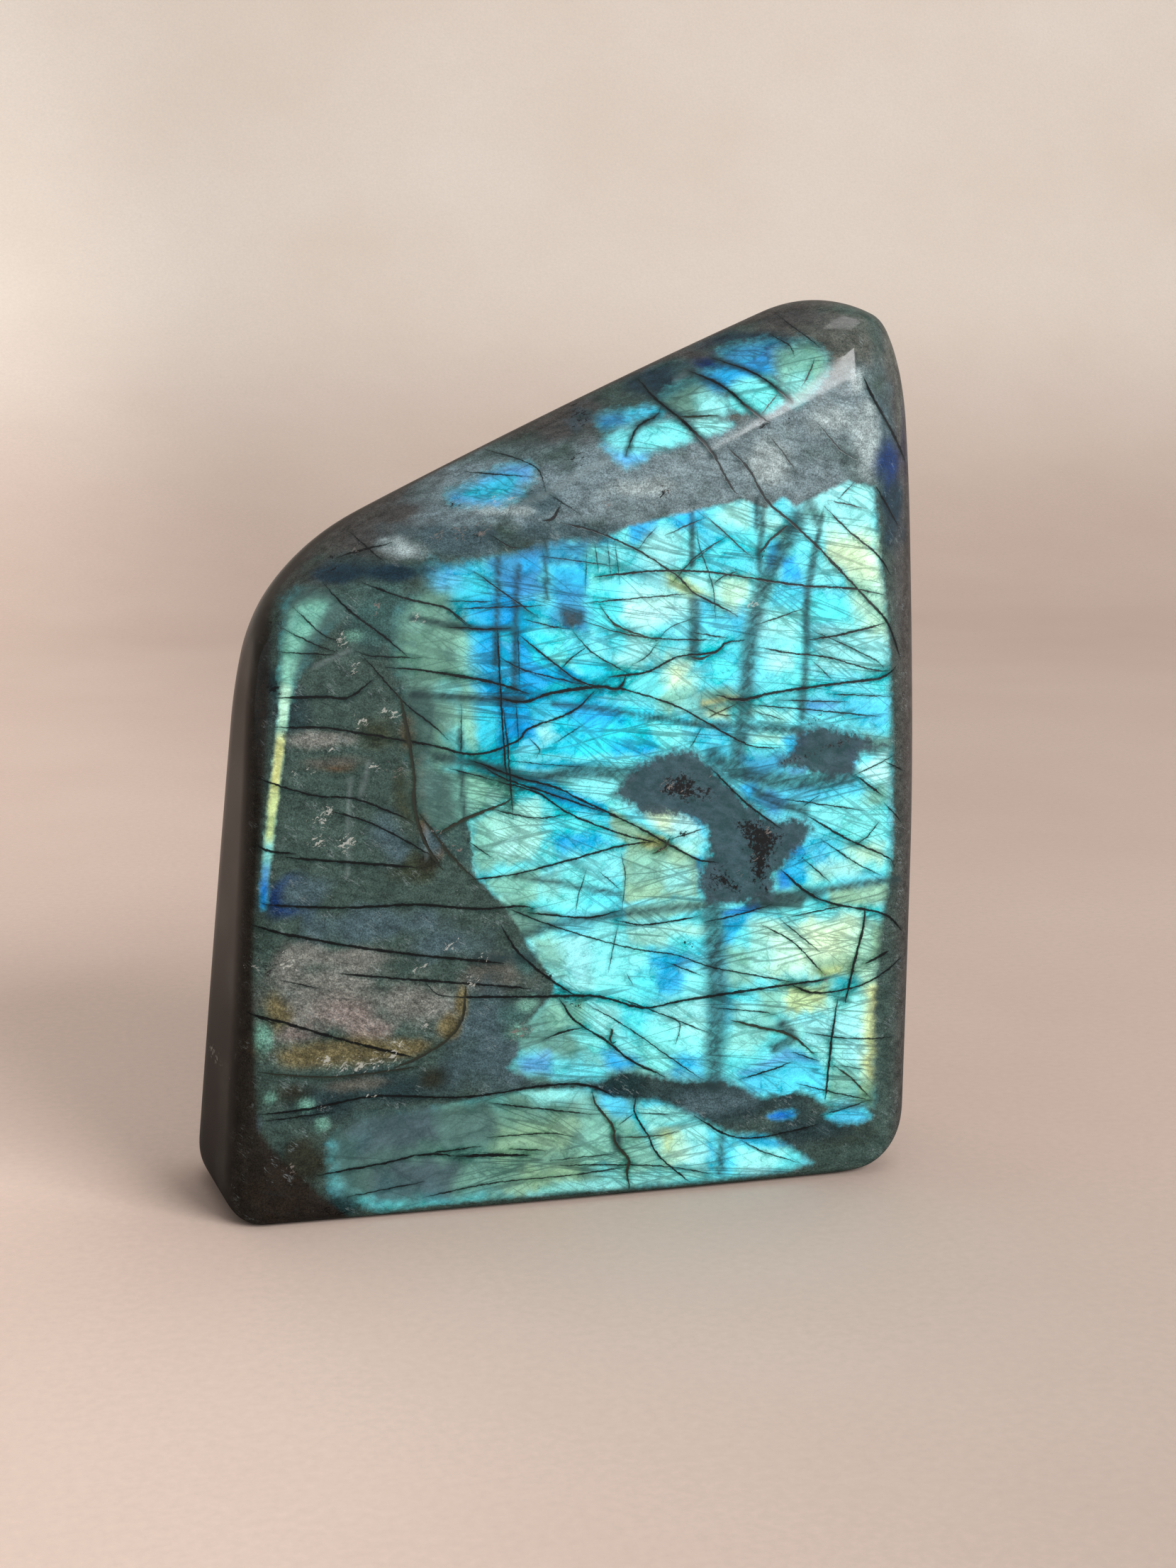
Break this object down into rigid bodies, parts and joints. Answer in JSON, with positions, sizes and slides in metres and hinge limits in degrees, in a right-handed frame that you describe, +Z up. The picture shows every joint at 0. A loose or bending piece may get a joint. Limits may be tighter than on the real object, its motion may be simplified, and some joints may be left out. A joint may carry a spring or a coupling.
{
  "type": "polished labradorite stone",
  "caption": "Upright freeform of polished labradorite with a flat sawn base, a slanting top and soft rounded edges.",
  "frame": {"origin": "middle of the flat sawn base, where the stone rests", "axes": "+Z up, the wide front face with the strongest colour towards -Y, +X to the right as seen from the front"},
  "size_m": [0.0879, 0.031, 0.1054],
  "materials": {
    "polished_labradorite": "polished"
  },
  "bodies": {
    "root": {"labradorite_stone": "polished_labradorite"}
  },
  "joints": []
}
